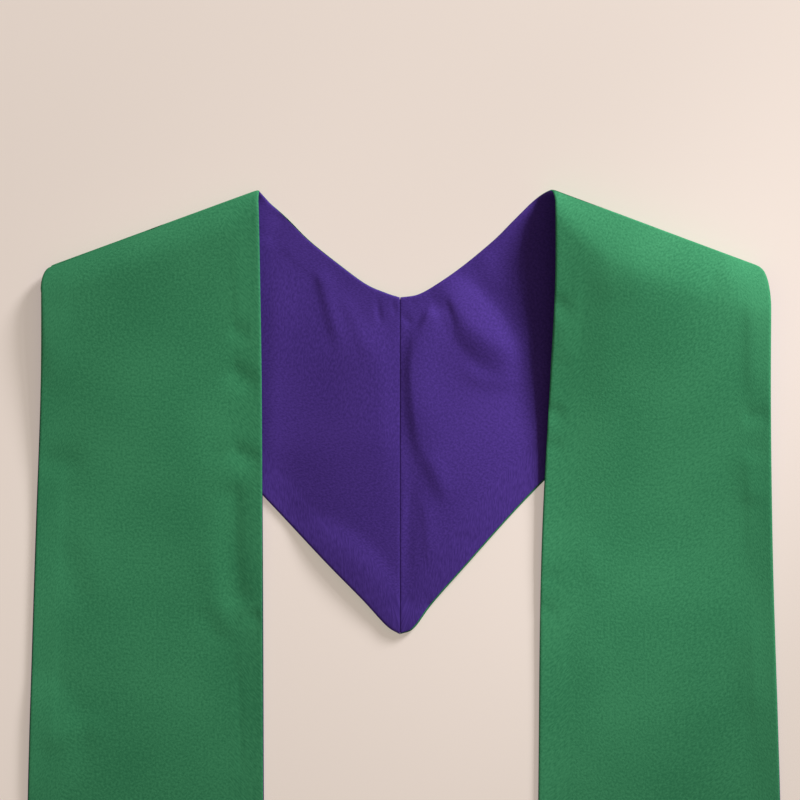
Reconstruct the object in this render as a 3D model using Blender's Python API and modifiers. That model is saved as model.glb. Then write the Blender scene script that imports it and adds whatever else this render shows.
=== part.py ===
"""A reversible clerical stole, laid flat with its front panels folded down over the shoulders.

Each half is one strap, cut in one piece from the centre back seam, over the shoulder, to the hem.
The back halves meet in a V-shaped yoke that lies with its lining up, and the straps turn over at a
slanted fold, so that their faces are up from there to the hem. A face and a lining are sewn
together round their edges, so a strap is two walls of cloth with a seam's gap between them.

Metres. +X is to the right and +Y is towards the neck as the stole lies, +Z is up, and the cloth
rests on z = 0. Places are given by half: out is the distance from the middle line, and down is the
distance below the neck point.
"""

import math
from typing import NamedTuple

import bmesh
import bpy
import numpy as np

# Cloth
WALL = 0.0010
GAP = 0.0003
SANDWICH = 2 * WALL + GAP
MIDDLE = SANDWICH / 2

# Whole stole
LENGTH = 1.270
SEAM_SHIFT = 0.00256
COLUMNS = 11

# The fall of the upper panel from the yoke to the surface, past the yoke's lower edge
STEP_REACH = 0.100
STEP_HEIGHT = SANDWICH + GAP

# Rows of the mesh along the strap
ROWS_PER_SECTION = 2
ROLL_ROWS = 4
NEAR_ROWS = 20
NEAR_DOWN = 0.240
FAR_ROWS = 13
FAR_GROWTH = 1.2
ROWS_LEVEL_AT = 0.420

FACE_GREEN = (0.036, 0.178, 0.082, 1.0)
LINING_PURPLE = (0.052, 0.023, 0.160, 1.0)
CLOTH_ROUGHNESS = 0.85


class Section(NamedTuple):
    """A line across the back half, from its neck edge to its lower edge."""

    neck_out: float
    neck_down: float
    edge_out: float
    edge_down: float


class Width(NamedTuple):
    """The front panel's two edges at a distance below the neck point."""

    down: float
    inner_out: float
    outer_out: float


class Roll(NamedTuple):
    """The soft fold at one end of the shoulder line."""

    fold_out: float
    fold_down: float
    height: float
    crest: float
    descent: float


class Mound(NamedTuple):
    """A soft rise of the yoke off the surface: an ellipse turned by angle, highest in its middle."""

    x: float
    down: float
    length: float
    width: float
    angle: float
    height: float


class Half(NamedTuple):
    """One strap of the stole, by its sections, its front edges and its shoulder fold.

    Above 1, corner makes the neck end of the fold squarer as seen from above.
    """

    name: str
    side: int
    back: tuple
    front: tuple
    roll_inner: Roll
    roll_outer: Roll
    corner: float


LEFT = Half(
    name="left",
    side=-1,
    back=(
        Section(SEAM_SHIFT + GAP / 2, 0.0688, SEAM_SHIFT + GAP / 2, 0.2842),
        Section(0.0115, 0.0659, 0.0115, 0.2785),
        Section(0.0243, 0.0602, 0.0269, 0.2618),
        Section(0.0410, 0.0480, 0.0499, 0.2384),
        Section(0.0602, 0.0326, 0.0858, 0.2003),
        Section(0.0742, 0.0186, 0.1500, 0.1326),
        Section(0.0858, 0.0083, 0.2198, 0.0595),
    ),
    front=(
        Width(0.000, 0.0928, 0.2317),
        Width(0.115, 0.0909, 0.2317),
        Width(0.215, 0.0902, 0.2354),
        Width(0.390, 0.0896, 0.2406),
        Width(0.800, 0.0870, 0.2460),
        Width(LENGTH, 0.0845, 0.2495),
    ),
    roll_inner=Roll(0.0928, 0.0, height=0.0125, crest=0.008, descent=0.110),
    roll_outer=Roll(0.2259, 0.0486, height=0.0130, crest=0.012, descent=0.165),
    corner=1.0,
)

RIGHT = Half(
    name="right",
    side=1,
    back=(
        Section(-SEAM_SHIFT + GAP / 2, 0.0688, -SEAM_SHIFT + GAP / 2, 0.2842),
        Section(0.0090, 0.0669, 0.0064, 0.2803),
        Section(0.0218, 0.0598, 0.0179, 0.2650),
        Section(0.0384, 0.0480, 0.0371, 0.2432),
        Section(0.0576, 0.0320, 0.0832, 0.1926),
        Section(0.0691, 0.0205, 0.1510, 0.1267),
        Section(0.0800, 0.0096, 0.2204, 0.0634),
    ),
    front=(
        Width(0.000, 0.0960, 0.2336),
        Width(0.060, 0.0960, 0.2336),
        Width(0.115, 0.0934, 0.2336),
        Width(0.215, 0.0884, 0.2354),
        Width(0.390, 0.0858, 0.2406),
        Width(0.800, 0.0840, 0.2460),
        Width(LENGTH, 0.0830, 0.2495),
    ),
    roll_inner=Roll(0.0934, 0.0, height=0.0235, crest=0.008, descent=0.225),
    roll_outer=Roll(0.2272, 0.0493, height=0.0175, crest=0.023, descent=0.200),
    corner=1.45,
)

MOUNDS = (
    Mound(x=-0.033, down=0.256, length=0.045, width=0.030, angle=-46.0, height=0.0024),
    Mound(x=0.046, down=0.086, length=0.046, width=0.018, angle=-52.0, height=0.0022),
    Mound(x=0.002, down=0.284, length=0.022, width=0.022, angle=0.0, height=0.0012),
    Mound(x=0.000, down=0.178, length=0.112, width=0.080, angle=90.0, height=0.0050),
)


def clear_scene():
    """Removes every object that the scene starts with."""
    for obj in list(bpy.data.objects):
        bpy.data.objects.remove(obj, do_unlink=True)


def make_cloth(name, colour):
    """A matt woven cloth of one colour."""
    material = bpy.data.materials.new(name)
    material.use_nodes = True
    shader = material.node_tree.nodes["Principled BSDF"]
    shader.inputs["Base Color"].default_value = colour
    shader.inputs["Roughness"].default_value = CLOTH_ROUGHNESS
    shader.inputs["Metallic"].default_value = 0.0
    material.diffuse_color = colour
    return material


def smooth_step(value):
    """Rises from 0 to 1 as value does, level at both ends."""
    value = np.clip(value, 0.0, 1.0)
    return value * value * (3.0 - 2.0 * value)


def mix(first, last, share):
    return first + (last - first) * share


def curve_through(keys, values, at):
    """A smooth curve through the values at rising keys, read at the places in at."""
    keys = np.asarray(keys, float)
    values = np.asarray(values, float)
    slopes = np.gradient(values, keys, axis=0)
    at = np.asarray(at, float)
    index = np.clip(np.searchsorted(keys, at, side="right") - 1, 0, len(keys) - 2)
    span = keys[index + 1] - keys[index]
    share = (at - keys[index]) / span
    shape = (...,) + (None,) * (values.ndim - 1)
    share, span = share[shape], span[shape]
    start = (1 + 2 * share) * (1 - share) ** 2 * values[index]
    end = share**2 * (3 - 2 * share) * values[index + 1]
    leave = share * (1 - share) ** 2 * span * slopes[index]
    arrive = share**2 * (share - 1) * span * slopes[index + 1]
    return start + end + leave + arrive


def mound_lift(x, down):
    """How far the yoke stands off the surface here."""
    lift = np.zeros_like(x)
    for mound in MOUNDS:
        turn = math.radians(mound.angle)
        right = x - mound.x
        up = mound.down - down
        along = (right * math.cos(turn) + up * math.sin(turn)) / mound.length
        across = (up * math.cos(turn) - right * math.sin(turn)) / mound.width
        inside = np.clip(1.0 - along**2 - across**2, 0.0, 1.0)
        lift += mound.height * smooth_step(inside)
    return lift


def back_ends(half):
    """The two ends of each row of the back half, seam first: rows of (inner x and down, outer)."""
    keys = range(len(half.back))
    count = (len(half.back) - 1) * ROWS_PER_SECTION
    at = np.linspace(0, len(half.back) - 1, count + 1)
    ends = curve_through(keys, half.back, at)
    return ends.reshape(-1, 2, 2)


def front_edges(half, down):
    """How far out the front panel's inner and outer edges are, at each distance down."""
    table = np.array(half.front)
    inner = curve_through(table[:, 0], table[:, 1], down[:, 0])
    outer = curve_through(table[:, 0], table[:, 2], down[:, 1])
    return np.stack([inner, outer], axis=1)


def front_downs(crest_downs):
    """How far down each front row's two ends are: parallel to the fold at first, level further on."""
    near = np.linspace(crest_downs[0], NEAR_DOWN, NEAR_ROWS + 1)
    powers = FAR_GROWTH ** np.arange(FAR_ROWS + 1) - 1.0
    far = mix(NEAR_DOWN, LENGTH, powers[1:] / powers[-1])
    inner = np.concatenate([near, far])
    slant = (crest_downs[1] - crest_downs[0]) * (1 - smooth_step(inner / ROWS_LEVEL_AT))
    slant *= (crest_downs[1] - crest_downs[0]) / slant[0]
    outer = np.minimum(inner + slant, LENGTH)
    return np.stack([inner, outer], axis=1)


def yoke_edge_down(half, out):
    """How far down the yoke's lower edge is, this far out."""
    outline = back_ends(half)[:, 1]
    return np.interp(out, outline[:, 0], outline[:, 1])


def strap_middle(half):
    """The strap's middle surface, as rows of points from the centre back seam to the hem."""
    share = np.linspace(0.0, 1.0, COLUMNS + 1)
    rolls = np.array([half.roll_inner, half.roll_outer])
    roll = mix(rolls[:1], rolls[1:], share[:, None])
    height, crest, descent = roll[:, 2], roll[:, 3], roll[:, 4]
    top = height - MIDDLE
    waist = (MIDDLE + top) / 2

    outline = rolls[:, :2]
    slope = (outline[1, 1] - outline[0, 1]) / (outline[1, 0] - outline[0, 0])
    level = 1 / math.hypot(1.0, slope)
    fold = outline + MIDDLE * level * np.array([-slope, 1.0])

    def below_fold(out, down):
        return (down - outline[0, 1] - slope * (out - outline[0, 0])) * level

    back = back_ends(half)
    tucked = back[-1]
    crest_out = np.array(half.front[0][1:])
    crest_down = outline[0, 1] + slope * (crest_out - outline[0, 0]) + rolls[:, 3] / level

    rows = []
    heights = []
    for ends in back:
        across = mix(ends[0], ends[1], share[:, None])
        rows.append(across)
        heights.append(MIDDLE + mound_lift(half.side * across[:, 0], across[:, 1]))

    for turn in np.linspace(0, math.pi / 2, ROLL_ROWS + 1)[1:]:
        reach = math.sin(turn)
        out = mix(tucked[:, 0], fold[:, 0], reach)
        down = mix(tucked[:, 1], fold[:, 1], 1 - (1 - reach) ** np.array([half.corner, 1.0]))
        ends = np.stack([out, down], axis=1)
        across = mix(ends[0], ends[1], share[:, None])
        lying = MIDDLE + mound_lift(half.side * across[:, 0], across[:, 1])
        rows.append(across)
        heights.append(mix(lying, waist, 1 - math.cos(turn)))

    for turn in np.linspace(0, math.pi / 2, ROLL_ROWS + 1)[1:]:
        out = mix(fold[:, 0], crest_out, math.sin(turn))
        down = mix(fold[:, 1], crest_down, 1 - math.cos(turn))
        ends = np.stack([out, down], axis=1)
        rows.append(mix(ends[0], ends[1], share[:, None]))
        heights.append(mix(waist, top, math.sin(turn)))

    downs = front_downs(crest_down)
    edges = front_edges(half, downs)
    for down, out in zip(downs[1:], edges[1:]):
        across = mix(np.array([out[0], down[0]]), np.array([out[1], down[1]]), share[:, None])
        past_edge = (across[:, 1] - yoke_edge_down(half, across[:, 0])) * math.sqrt(0.5)
        rest = MIDDLE + STEP_HEIGHT * (1 - smooth_step(past_edge / STEP_REACH))
        fallen = (below_fold(across[:, 0], across[:, 1]) - crest) / (descent - crest)
        rows.append(across)
        heights.append(mix(top, rest, smooth_step(fallen)))

    flat = np.array(rows)
    middle = np.empty(flat.shape[:2] + (3,))
    middle[..., 0] = half.side * flat[..., 0]
    middle[..., 1] = LENGTH / 2 - flat[..., 1]
    middle[..., 2] = np.array(heights)
    return middle


def face_side(middle, side):
    """Unit directions from the middle surface towards the face of the cloth."""
    along = np.gradient(middle, axis=0)
    across = np.gradient(middle, axis=1)
    towards = np.cross(along, across) * side
    return towards / np.linalg.norm(towards, axis=2, keepdims=True)


def make_wall(name, middle, outward, turned, material, collection):
    """One wall of the strap: the surface beside the seam's gap, thickened outwards."""
    inner = middle + outward * GAP / 2
    mesh = bpy.data.meshes.new(name)
    build = bmesh.new()
    grid = [[build.verts.new(point) for point in row] for row in inner]
    for upper, lower in zip(grid, grid[1:]):
        for column in range(len(upper) - 1):
            corners = (upper[column], lower[column], lower[column + 1], upper[column + 1])
            for triangle in (corners[:3], (corners[0], corners[2], corners[3])):
                build.faces.new(triangle[::-1] if turned else triangle)
    build.to_mesh(mesh)
    build.free()
    mesh.shade_smooth()
    mesh.materials.append(material)
    wall = bpy.data.objects.new(name, mesh)
    collection.objects.link(wall)
    thicken = wall.modifiers.new("Cloth thickness", "SOLIDIFY")
    thicken.thickness = WALL
    thicken.offset = 1.0
    thicken.use_even_offset = True
    thicken.use_quality_normals = True
    return wall


def make_half(half, face_cloth, lining_cloth, collection):
    """The face and the lining of one strap."""
    middle = strap_middle(half)
    towards_face = face_side(middle, half.side)
    make_wall(f"outer_{half.name}", middle, towards_face, half.side < 0, face_cloth, collection)
    make_wall(f"lining_{half.name}", middle, -towards_face, half.side > 0, lining_cloth, collection)


def main():
    clear_scene()
    collection = bpy.data.collections.new("clerical stole")
    bpy.context.scene.collection.children.link(collection)
    face_cloth = make_cloth("Green woven cloth", FACE_GREEN)
    lining_cloth = make_cloth("Purple woven cloth", LINING_PURPLE)
    for half in (LEFT, RIGHT):
        make_half(half, face_cloth, lining_cloth, collection)


main()
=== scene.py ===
"""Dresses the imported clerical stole: woven cloth shells with their seams, rolls and creases.

Each half of the stole is one strap that runs from the centre back seam, over the shoulder fold, to
its hem. Its face and lining are two shells that meet in the seam round the strap's edge. The
shells follow the solids that they replace, with a finer edge, seam allowances and creases.

Metres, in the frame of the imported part: +X to the right, +Y towards the neck, +Z up from the
surface. Places on a strap are given as out, the distance from the middle line, and down, the
distance below the neck point. Creases are placed by x instead of out, because they differ between
the halves.
"""

import logging
import math
from dataclasses import dataclass, field
from enum import Enum, IntEnum
from typing import ClassVar

import bpy
import numpy as np
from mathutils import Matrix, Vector, noise
from numpy.typing import ArrayLike


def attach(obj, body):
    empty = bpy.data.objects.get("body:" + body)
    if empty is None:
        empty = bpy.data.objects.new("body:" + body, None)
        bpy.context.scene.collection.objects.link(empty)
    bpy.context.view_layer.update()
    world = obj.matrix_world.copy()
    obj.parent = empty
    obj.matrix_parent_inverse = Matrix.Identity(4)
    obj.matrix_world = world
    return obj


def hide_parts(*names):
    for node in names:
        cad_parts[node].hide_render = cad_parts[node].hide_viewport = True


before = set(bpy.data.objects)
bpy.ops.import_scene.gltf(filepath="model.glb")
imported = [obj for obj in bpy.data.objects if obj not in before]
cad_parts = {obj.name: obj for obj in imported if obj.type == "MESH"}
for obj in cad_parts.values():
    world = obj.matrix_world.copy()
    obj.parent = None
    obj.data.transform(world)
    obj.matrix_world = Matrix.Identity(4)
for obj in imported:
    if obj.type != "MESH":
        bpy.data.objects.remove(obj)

LOG = logging.getLogger("stole")

MM = 0.001

# The solids: the wall of one cloth, the gap at a seam, and face and lining together
WALL = 1.0 * MM
GAP = 0.3 * MM
SANDWICH = 2 * WALL + GAP
HALF_SANDWICH = SANDWICH / 2

# From the neck point to the hem, and from the middle line to the centre back seam on its left
LENGTH = 1.270
SEAM_SHIFT = 2.56 * MM

RIGHT_ANGLE = math.pi / 2
TINY = 1e-12


class Side(Enum):
    """The two halves of the stole as it lies, by the sign of their X."""

    LEFT = -1
    RIGHT = 1


class Layer(Enum):
    """The two cloths of the stole, by their side of the strap's middle surface."""

    FACE = 1
    LINING = -1


class Part(IntEnum):
    """The parts of a strap, in order from the centre back seam to the hem."""

    BACK = 0
    UNDER_FOLD = 1
    OVER_FOLD = 2
    FRONT = 3


def smooth_step(value: np.ndarray) -> np.ndarray:
    """Rises from 0 to 1 as value does, level at both ends."""
    value = np.clip(value, 0.0, 1.0)
    return value * value * (3.0 - 2.0 * value)


def mix(first: ArrayLike, last: ArrayLike, share: ArrayLike) -> ArrayLike:
    """Goes from first to last as share goes from 0 to 1."""
    return first + (last - first) * share


def curve_through(keys: ArrayLike, values: ArrayLike, at: ArrayLike) -> np.ndarray:
    """Reads a smooth curve through a table.

    Args:
        keys: the rising places at which the values stand.
        values: a value, or a row of values, for each key.
        at: the places to read.

    Returns:
        The values at those places.
    """
    keys = np.asarray(keys, float)
    values = np.asarray(values, float)
    slopes = np.gradient(values, keys, axis=0)
    at = np.asarray(at, float)
    index = np.clip(np.searchsorted(keys, at, side="right") - 1, 0, len(keys) - 2)
    span = keys[index + 1] - keys[index]
    share = (at - keys[index]) / span
    shape = (...,) + (None,) * (values.ndim - 1)
    share, span = share[shape], span[shape]
    start = (1 + 2 * share) * (1 - share) ** 2 * values[index]
    end = share**2 * (3 - 2 * share) * values[index + 1]
    leave = share * (1 - share) ** 2 * span * slopes[index]
    arrive = share**2 * (share - 1) * span * slopes[index + 1]
    return start + end + leave + arrive


@dataclass(frozen=True)
class Section:
    """A line across the back half, from its neck edge to its lower edge."""

    neck_out: float
    neck_down: float
    edge_out: float
    edge_down: float

    def row(self) -> tuple[float, ...]:
        """The section as one row of a table."""
        return self.neck_out, self.neck_down, self.edge_out, self.edge_down


@dataclass(frozen=True)
class Width:
    """The front panel's two edges at a distance below the neck point."""

    down: float
    inner_out: float
    outer_out: float


@dataclass(frozen=True)
class Roll:
    """The soft fold at one end of the shoulder line: it falls from its brow to its descent."""

    fold_out: float
    fold_down: float
    height: float
    crest: float
    brow: float
    descent: float


@dataclass(frozen=True)
class Mound:
    """A soft rise of the yoke off the surface: a turned ellipse, highest in its middle."""

    x: float
    down: float
    length: float
    width: float
    angle: float
    height: float

    def lift(self, x: np.ndarray, down: np.ndarray) -> np.ndarray:
        """How far the mound lifts the cloth at each place.

        Args:
            x: places across the stole.
            down: the same places' distances below the neck point.

        Returns:
            The rise at each place.
        """
        turn = math.radians(self.angle)
        right = x - self.x
        up = self.down - down
        along = (right * math.cos(turn) + up * math.sin(turn)) / self.length
        across = (up * math.cos(turn) - right * math.sin(turn)) / self.width
        return self.height * smooth_step(1.0 - along**2 - across**2)


@dataclass(frozen=True)
class Crease:
    """A soft ridge, or a trough where rise is below zero, along a given line.

    The path, the rise and the widths are in millimetres. The left width is on the left of someone
    who walks the path, seen from above. Both widths grow along the path, up to spread times at its
    end. The crease fades in over a share of its path, and out over its tail or the same share.
    """

    path: tuple[tuple[float, float], ...]
    rise: float
    left: float
    right: float
    fade: float = 0.3
    spread: float = 1.0
    tail: float = 0.0

    SAMPLES: ClassVar[int] = 24
    WIDTHS_REACHED: ClassVar[float] = 3.0

    def line(self) -> np.ndarray:
        """Draws the crease's smooth centre line.

        Returns:
            Its points, as x and down in metres.
        """
        points = np.array(self.path) * MM
        if len(points) == 2:
            return mix(points[:1], points[1:], np.linspace(0, 1, self.SAMPLES)[:, None])
        keys = np.linspace(0, 1, len(points))
        return curve_through(keys, points, np.linspace(0, 1, self.SAMPLES))

    def lift(self, x: np.ndarray, down: np.ndarray) -> np.ndarray:
        """How far the crease moves the cloth at each place.

        Args:
            x: places across the stole.
            down: the same places' distances below the neck point.

        Returns:
            The rise at each place, below zero in a trough.
        """
        line = self.line()
        reach = self.WIDTHS_REACHED * max(self.left, self.right) * max(1.0, self.spread) * MM
        near = (
            (x > line[:, 0].min() - reach)
            & (x < line[:, 0].max() + reach)
            & (down > line[:, 1].min() - reach)
            & (down < line[:, 1].max() + reach)
        )
        lift = np.zeros_like(x)
        if not near.any():
            return lift
        places = np.stack([x[near], down[near]], axis=1)[:, None, :]
        starts, steps = line[None, :-1], np.diff(line, axis=0)[None]
        lengths = (steps**2).sum(2)
        share = np.clip(((places - starts) * steps).sum(2) / lengths, 0.0, 1.0)
        offsets = places - starts - steps * share[..., None]
        nearest = np.argmin((offsets**2).sum(2), axis=1)
        pick = np.arange(len(nearest))
        offset = offsets[pick, nearest]
        step = steps[0, nearest]
        on_left = step[:, 0] * offset[:, 1] - step[:, 1] * offset[:, 0] < 0
        along = (nearest + share[pick, nearest]) / (self.SAMPLES - 1)
        width = np.where(on_left, self.left, self.right) * mix(1.0, self.spread, along) * MM
        ends = smooth_step(np.minimum(along / self.fade, (1 - along) / (self.tail or self.fade)))
        distance = np.hypot(offset[:, 0], offset[:, 1])
        lift[near] = self.rise * MM * ends * np.exp(-((distance / width) ** 2))
        return lift


@dataclass(frozen=True)
class Wrap:
    """How far the seam rolls to one side of an edge, at a place along the strap.

    Degrees round the edge: above zero the face shows on the lining's side, and below zero the
    lining shows on the face's side. The station counts sections on the back half from 0 at the
    centre back seam, and goes on past the fold by the distance down in metres.
    """

    station: float
    degrees: float


@dataclass(frozen=True)
class Dome:
    """How far a roll still rises behind its fold, and by how much, at a share of the way outwards."""

    share: float
    reach: float
    rise: float


YOKE_MOUNDS = (
    Mound(x=-0.038, down=0.250, length=0.056, width=0.030, angle=-46.0, height=0.0024),
    Mound(x=0.046, down=0.086, length=0.046, width=0.018, angle=-52.0, height=0.0022),
    Mound(x=0.002, down=0.284, length=0.022, width=0.022, angle=0.0, height=0.0012),
    Mound(x=0.000, down=0.152, length=0.138, width=0.082, angle=90.0, height=0.0052),
)

# The left panel's outer edge, which stands a little off the surface here
FRONT_LIFT = Mound(x=-0.236, down=0.355, length=0.050, width=0.034, angle=90.0, height=0.0014)

YOKE_CREASES = (
    # Long soft fold to the right of the centre back seam, steep towards the seam
    Crease(
        (
            (19, 71), (15.6, 80), (11.4, 89), (7.6, 97), (5.6, 106), (5, 116), (5.8, 128), (7.2, 141),
            (9.4, 154), (12.6, 166), (18, 179), (26, 193), (36, 208),
        ),
        rise=2.7, left=9.0, right=3.0, fade=0.10, spread=2.6, tail=0.42,
    ),
    Crease(((15, 166), (21, 182), (29, 200)), rise=0.9, left=7.0, right=5.0),
    # Lower fold beside the seam, and the hollow that runs on from it to the point
    Crease(((12, 196), (14, 208), (15, 224), (17, 244)), rise=0.5, left=6.0, right=3.0),
    Crease(((6, 182), (3.4, 204), (2.2, 230), (1.8, 262)), rise=-0.7, left=5.0, right=3.4),
    # Soft fold down the left of the seam, turned away from the light on its left
    Crease(
        ((-33, 84), (-27, 95), (-20.5, 107), (-17, 122), (-16.6, 150), (-14.5, 178), (-13, 210)),
        rise=1.9, left=12.0, right=26.0, fade=0.3,
    ),
    # Small gathers that hang from the neck edge's seam
    Crease(((-17, 69.5), (-16.6, 77), (-14.6, 88)), rise=-0.6, left=2.2, right=1.6),
    Crease(((-7.4, 71), (-6.6, 76), (-4.6, 82)), rise=-0.5, left=1.9, right=1.5),
    Crease(((-1.6, 80), (1.4, 83.4), (5.4, 87)), rise=-0.5, left=2.4, right=2.0),
    Crease(((5.4, 70.6), (6.4, 74.6)), rise=-0.35, left=1.5, right=1.5),
    Crease(((16.4, 69.6), (14.4, 76), (10.0, 85.6), (6, 94)), rise=-0.5, left=2.6, right=3.0),
    Crease(((26, 67), (28.6, 76), (32.0, 85), (33.6, 92)), rise=-0.6, left=2.0, right=3.0),
    # Ridge that runs down under the right panel: sharp along its top, broad at its foot
    Crease(((25, 57), (30, 69), (37, 81), (48, 93), (61, 102), (74, 106)), rise=1.0, left=8.0, right=5.0),
    Crease(((34, 76), (48, 94), (64, 104), (84, 110)), rise=2.0, left=20.0, right=24.0, fade=0.35),
    Crease(((49, 38), (54, 52), (64, 68)), rise=0.7, left=8.0, right=7.0),
    # Slighter lines on the left of the yoke
    Crease(((-56, 48), (-53, 58), (-49.4, 70), (-44.4, 88), (-39, 104)), rise=1.1, left=7.0, right=3.4),
    Crease(((-42, 64), (-36, 76), (-29, 92), (-21, 110)), rise=0.45, left=5.0, right=3.4),
    Crease(((-76, 12), (-80.4, 24), (-88, 36)), rise=-0.95, left=6.5, right=5.5),
    Crease(((-79, 40), (-82, 80), (-83, 120), (-84, 160), (-84, 186)), rise=1.3, left=22.0, right=6.5),
    # Faint cross lines on the right of the yoke, and the pinch beside the point
    Crease(((32.6, 115), (53, 122.6), (80.6, 123.4)), rise=0.8, left=6.0, right=3.0),
    Crease(((30, 226), (38, 223.4), (50, 225.4)), rise=-0.35, left=3.4, right=3.0),
    Crease(((16, 262), (18, 268), (21, 272)), rise=-0.8, left=2.4, right=2.4),
)

FRONT_CREASES = (
    # Left panel: the inner seam allowance, pulled into hollows beside the yoke's edge
    Crease(((-113, 90), (-97, 92)), rise=-0.75, left=5.5, right=6.0, fade=0.4),
    Crease(((-114, 111), (-104, 119), (-91, 128)), rise=-0.98, left=6.0, right=8.0, fade=0.35),
    Crease(((-113, 163), (-103, 169), (-89, 176)), rise=-0.98, left=5.0, right=7.0, fade=0.35),
    Crease(((-132, 167), (-120, 168), (-108, 169)), rise=-0.3, left=7.0, right=7.0, fade=0.5),
    Crease(
        ((-107.6, 184), (-108.4, 214), (-107.4, 244), (-103.4, 270)),
        rise=-0.95, left=6.0, right=11.0, fade=0.14,
    ),
    Crease(((-101, 270), (-96, 273), (-90, 273)), rise=-0.6, left=4.0, right=5.0, fade=0.4),
    Crease(((-121, 218), (-120, 250), (-115, 274), (-106, 290)), rise=0.4, left=5.0, right=10.0),
    Crease(((-130, 264), (-122, 280), (-111, 294)), rise=-0.4, left=6.0, right=7.0),
    Crease(((-105.4, 300), (-105, 340), (-104.6, 380)), rise=-0.18, left=1.7, right=1.7, fade=0.2),
    # Left panel: the outer part
    Crease(((-238, 171), (-222, 174), (-200, 175)), rise=-0.6, left=8.0, right=9.0, fade=0.4),
    Crease(((-229, 62), (-227, 96), (-219, 136)), rise=0.7, left=13.0, right=6.0, fade=0.4),
    Crease(((-221, 212), (-212, 246), (-201, 284)), rise=-0.55, left=10.0, right=9.0, fade=0.4),
    Crease(((-233, 358), (-212, 347), (-186, 342)), rise=0.6, left=8.0, right=9.0),
    # Right panel: the foot of the shoulder roll
    Crease(((110, 58), (138, 56), (160, 55)), rise=0.7, left=20.0, right=13.0, fade=0.4),
    Crease(((196, 52), (208, 55), (222, 58)), rise=1.0, left=16.0, right=12.0, fade=0.4),
    # Right panel: the outer seam allowance
    Crease(((219.6, 66), (220.8, 100), (221.4, 140)), rise=0.5, left=8.0, right=4.0),
    Crease(((215, 144), (224, 144.4), (235, 143)), rise=-0.5, left=5.0, right=6.0, fade=0.3),
    Crease(((222, 164), (221, 184), (223, 204)), rise=0.6, left=9.0, right=8.0),
    Crease(((220, 270), (220.6, 306), (221.6, 344)), rise=0.5, left=10.0, right=8.0),
    # Right panel: the inner seam allowance and two faint lines beside it
    Crease(((88, 71), (97, 72.4), (106, 71.6)), rise=-0.7, left=4.0, right=6.0, fade=0.35),
    Crease(((101, 78), (102, 95), (101, 112)), rise=0.45, left=6.0, right=7.0),
    Crease(((86, 140), (95, 141.6), (104, 141)), rise=-0.75, left=4.4, right=7.0, fade=0.35),
    Crease(((86, 163), (95, 163.6), (103, 163)), rise=-0.4, left=5.0, right=5.0, fade=0.35),
    Crease(((84, 247), (92, 248), (101, 246)), rise=-0.35, left=4.0, right=4.0, fade=0.3),
    Crease(((84, 268), (90, 268.6), (98, 267)), rise=-0.45, left=5.0, right=5.4, fade=0.3),
    Crease(((119.7, 221), (119.4, 238), (119.8, 254)), rise=0.25, left=2.5, right=2.5),
    # Both panels below the photographed part
    Crease(((-226, 520), (-190, 508), (-150, 514)), rise=0.5, left=9.0, right=9.0),
    Crease(((-104, 600), (-103, 660), (-105, 720)), rise=0.5, left=5.0, right=5.0),
    Crease(((-232, 790), (-205, 812), (-184, 850)), rise=-0.6, left=7.0, right=7.0),
    Crease(((-140, 905), (-115, 925), (-92, 930)), rise=0.45, left=8.0, right=8.0),
    Crease(((-235, 1080), (-200, 1072), (-160, 1078)), rise=0.5, left=9.0, right=9.0),
    Crease(((228, 470), (229, 520), (229, 570)), rise=0.5, left=5.0, right=5.0),
    Crease(((92, 640), (120, 655), (150, 648)), rise=0.5, left=9.0, right=9.0),
    Crease(((232, 760), (205, 775), (190, 810)), rise=-0.6, left=7.0, right=7.0),
    Crease(((90, 980), (104, 1010), (103, 1060)), rise=0.5, left=5.0, right=5.0),
    Crease(((160, 1130), (200, 1118), (240, 1128)), rise=0.5, left=9.0, right=9.0),
)


@dataclass
class Rows:
    """A strap's rows, from the centre back seam to the hem.

    Each row has its two ends, as out and down, its station along the strap and its part of the
    strap. In the fold it also has its turn, in radians round its quarter of the fold. The front's
    rows have their distances from the hem.
    """

    ends: np.ndarray
    stations: np.ndarray
    parts: np.ndarray
    turns: np.ndarray
    hem_distance: np.ndarray


@dataclass
class EdgeColumns:
    """The columns that follow one edge of every row: round its nose, then over its allowance."""

    from_end: np.ndarray
    turns: np.ndarray
    from_edge: np.ndarray


@dataclass
class Columns:
    """A layer's columns in every row, with their turns round both noses.

    The distance is from the row's inner end, and the edge distance from the nearer edge.
    """

    distance: np.ndarray
    inner_turn: np.ndarray
    outer_turn: np.ndarray
    edge_distance: np.ndarray


@dataclass
class Grid:
    """A strap's middle surface as a grid: rows along it, columns across it.

    The creases lift each point by lifted, upper tells how far the layer shows from above there,
    and weave is the point's place in the flat cut.
    """

    middle: np.ndarray
    toward_face: np.ndarray
    lifted: np.ndarray
    upper: np.ndarray
    columns: Columns
    hem_rise: np.ndarray
    seam_distance: np.ndarray
    weave: np.ndarray


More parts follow.
